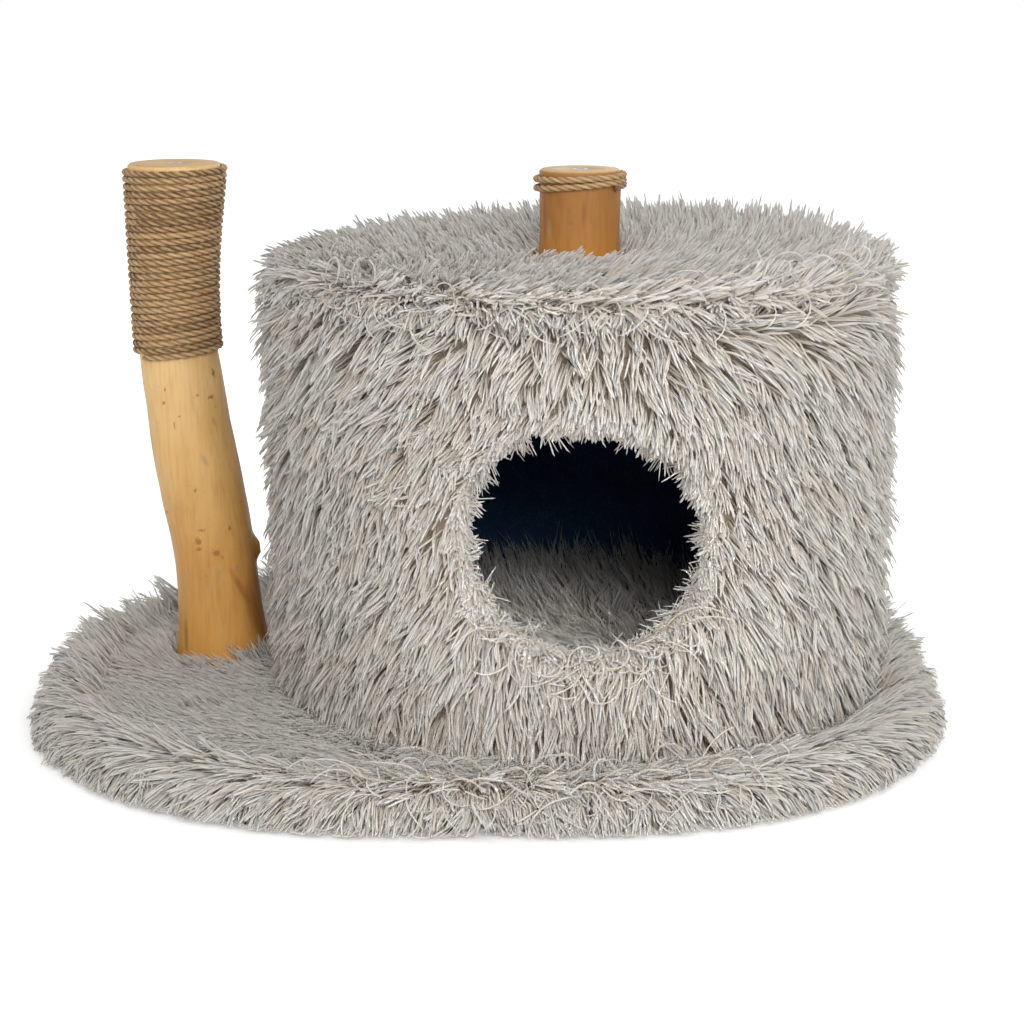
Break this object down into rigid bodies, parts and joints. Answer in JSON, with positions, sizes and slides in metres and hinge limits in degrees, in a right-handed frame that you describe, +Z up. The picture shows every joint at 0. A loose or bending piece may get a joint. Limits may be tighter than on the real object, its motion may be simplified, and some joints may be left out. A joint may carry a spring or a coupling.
{
  "type": "cat tree",
  "caption": "Lower stage of a cat tree: oval plush base, round plush house with a round doorway, a bent barkless trunk and a trunk on the house, both wound with rope.",
  "frame": {"origin": "on the floor, under the middle of the oval base", "axes": "+X to the right seen from the doorway's side, +Y to the back, +Z up"},
  "size_m": [0.83, 0.73, 0.504],
  "materials": {
    "plush": "long grey-beige pile",
    "trunk_wood": "barkless, honey-coloured, lightly varnished",
    "jute_rope": "twisted jute",
    "board": "raw chipboard",
    "hardboard": "raw hardboard",
    "lining_felt": "dark felt",
    "underlay_felt": "dark felt",
    "zinc_steel": "zinc plated",
    "pad_rubber": "matt"
  },
  "bodies": {
    "root": {"base_board": "board", "base_plush": "plush", "base_staples": "zinc_steel", "base_underlay": "underlay_felt", "base_pads": "pad_rubber", "house_floor_board": "board", "house_top_board": "board", "house_wall": "hardboard", "house_wall_staples": "zinc_steel", "house_lining": "lining_felt", "house_ceiling_lining": "lining_felt", "house_floor_plush": "plush", "house_wall_plush": "plush", "house_top_plush": "plush", "house_bolts": "zinc_steel", "house_t_nuts": "zinc_steel", "left_post": "trunk_wood", "left_post_rope": "jute_rope", "left_post_bolt": "zinc_steel", "left_post_washer": "zinc_steel", "left_post_foot_insert": "zinc_steel", "left_post_top_insert": "zinc_steel", "house_post": "trunk_wood", "house_post_rope": "jute_rope", "house_post_bolt": "zinc_steel", "house_post_washer": "zinc_steel", "house_post_foot_insert": "zinc_steel", "house_post_top_insert": "zinc_steel"}
  },
  "joints": []
}
